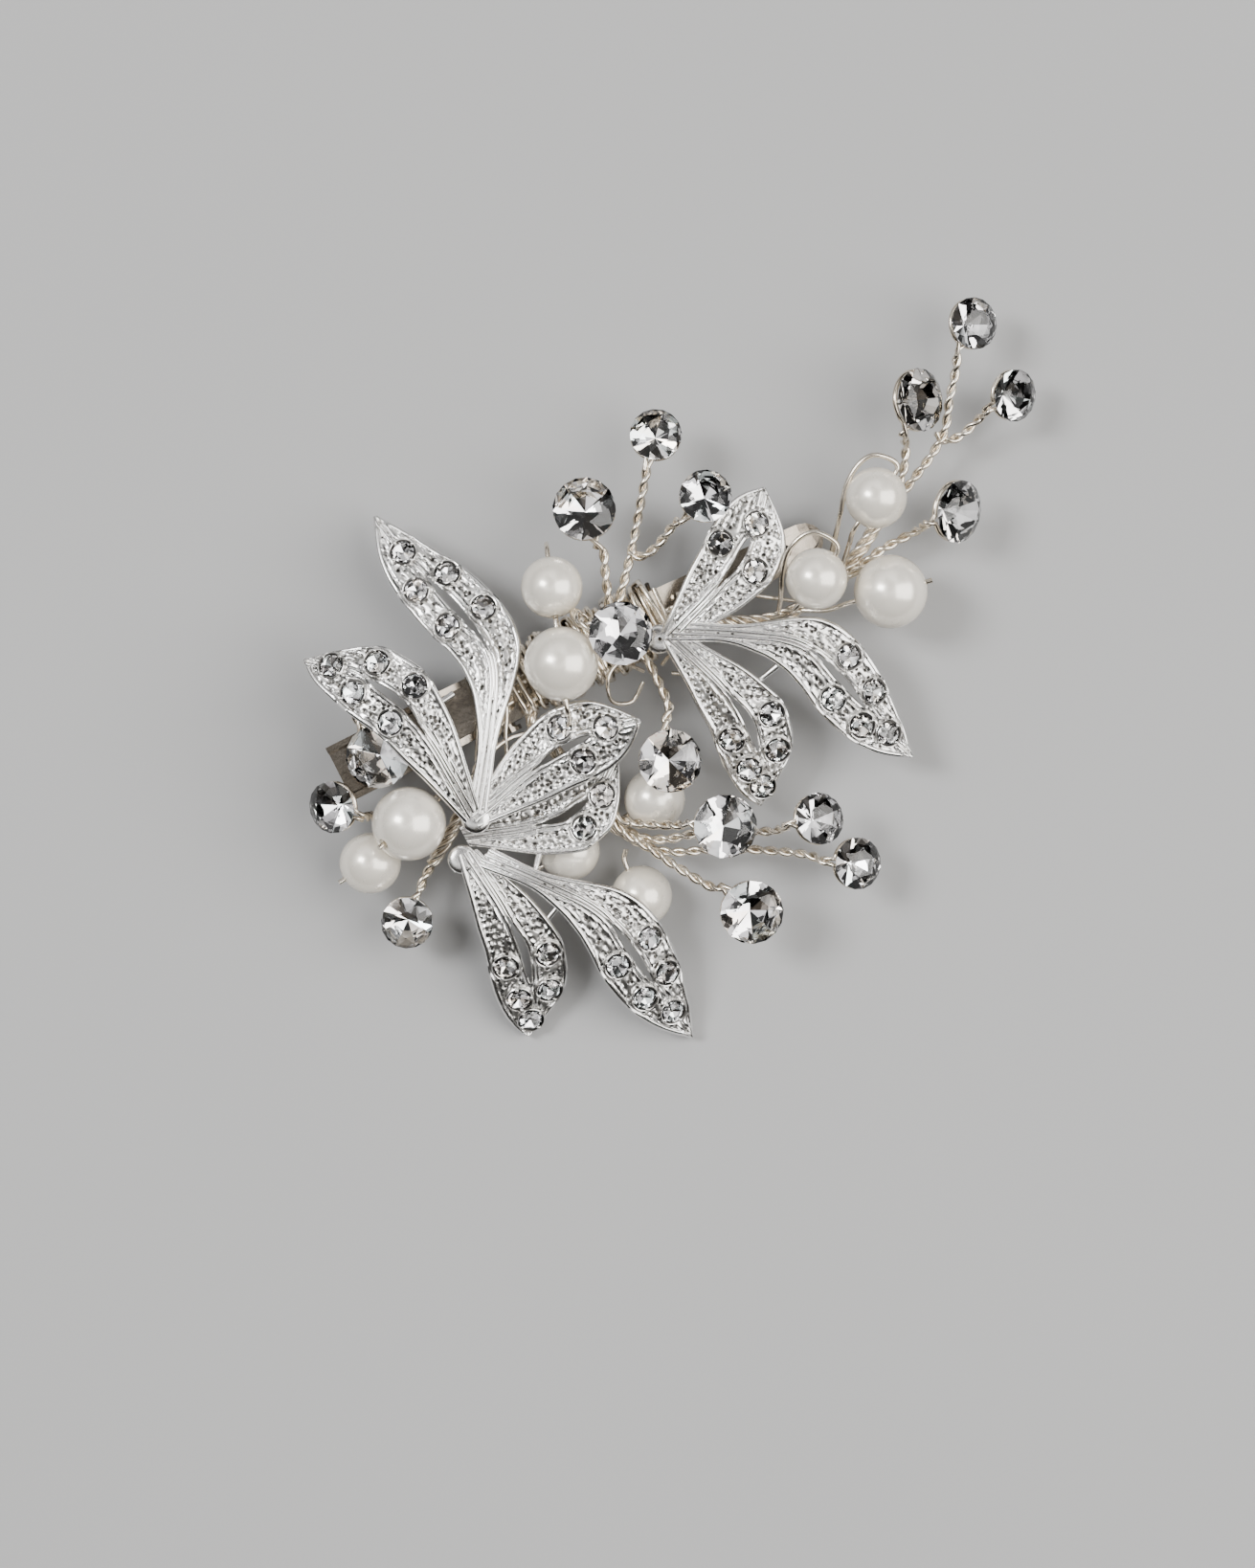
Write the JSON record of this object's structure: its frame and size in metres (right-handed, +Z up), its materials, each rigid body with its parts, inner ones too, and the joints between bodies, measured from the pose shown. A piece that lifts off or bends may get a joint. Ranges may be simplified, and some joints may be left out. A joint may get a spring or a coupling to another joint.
{
  "type": "hair clip",
  "caption": "Sprung metal hair clip that carries a bridal spray of cast leaves, pearls and round crystals wired on along its bar.",
  "frame": {"origin": "middle of the lower jaw's flat underside", "axes": "+X along the clip towards its nose, +Y across it, +Z up out of the decorated side"},
  "size_m": [0.069, 0.0498, 0.0133],
  "materials": {
    "clip_steel": "nickel plated",
    "silver_plate": "bright silver plate",
    "binding_wire": "pale champagne silver",
    "pearl_lacquer": "ivory pearl",
    "crystal_glass": "faceted, foil backed"
  },
  "bodies": {
    "lower_jaw": {"clip_lower_jaw": "clip_steel", "clip_hinge_pin": "clip_steel", "clip_torsion_spring": "clip_steel"},
    "decorated_jaw": {"clip_upper_jaw": "clip_steel", "leaf_sprig_right": "silver_plate", "leaf_sprig_upper": "silver_plate", "leaf_sprig_lower": "silver_plate", "pearl_01": "pearl_lacquer", "pearl_02": "pearl_lacquer", "pearl_03": "pearl_lacquer", "pearl_04": "pearl_lacquer", "pearl_05": "pearl_lacquer", "pearl_06": "pearl_lacquer", "pearl_07": "pearl_lacquer", "pearl_08": "pearl_lacquer", "pearl_09": "pearl_lacquer", "pearl_10": "pearl_lacquer", "pearl_wire_1_2": "binding_wire", "pearl_wire_3_4": "binding_wire", "pearl_wire_5": "binding_wire", "pearl_wire_6": "binding_wire", "pearl_wire_7": "binding_wire", "pearl_wire_8_9": "binding_wire", "pearl_wire_10": "binding_wire", "crystal_01": "crystal_glass", "crystal_02": "crystal_glass", "crystal_03": "crystal_glass", "crystal_04": "crystal_glass", "crystal_05": "crystal_glass", "crystal_06": "crystal_glass", "crystal_07": "crystal_glass", "crystal_08": "crystal_glass", "crystal_09": "crystal_glass", "crystal_10": "crystal_glass", "crystal_11": "crystal_glass", "crystal_12": "crystal_glass", "crystal_13": "crystal_glass", "crystal_14": "crystal_glass", "crystal_15": "crystal_glass", "crystal_16": "crystal_glass", "crystal_stem_01": "binding_wire", "crystal_stem_02": "binding_wire", "crystal_stem_03": "binding_wire", "crystal_stem_04": "binding_wire", "crystal_stem_05": "binding_wire", "crystal_stem_06": "binding_wire", "crystal_stem_07": "binding_wire", "crystal_stem_08": "binding_wire", "crystal_stem_09": "binding_wire", "crystal_stem_10": "binding_wire", "crystal_stem_11": "binding_wire", "crystal_stem_12": "binding_wire", "crystal_stem_13": "binding_wire", "crystal_stem_14": "binding_wire", "crystal_stem_15": "binding_wire", "crystal_stem_16": "binding_wire", "stem_bundle_right": "binding_wire", "stem_bundle_lower": "binding_wire", "stem_bundle_left": "binding_wire", "binding_coil": "binding_wire"}
  },
  "joints": [
    {"name": "jaw_hinge", "type": "hinge", "parent": "lower_jaw", "child": "decorated_jaw", "pos_m": [-0.008, 0, 0.0033], "axis": [0, -1, 0], "range_deg": [0, 20], "stiffness_Nm_per_rad": 0.08, "springref_deg": -25.78, "deforming": ["clip_torsion_spring"]}
  ]
}
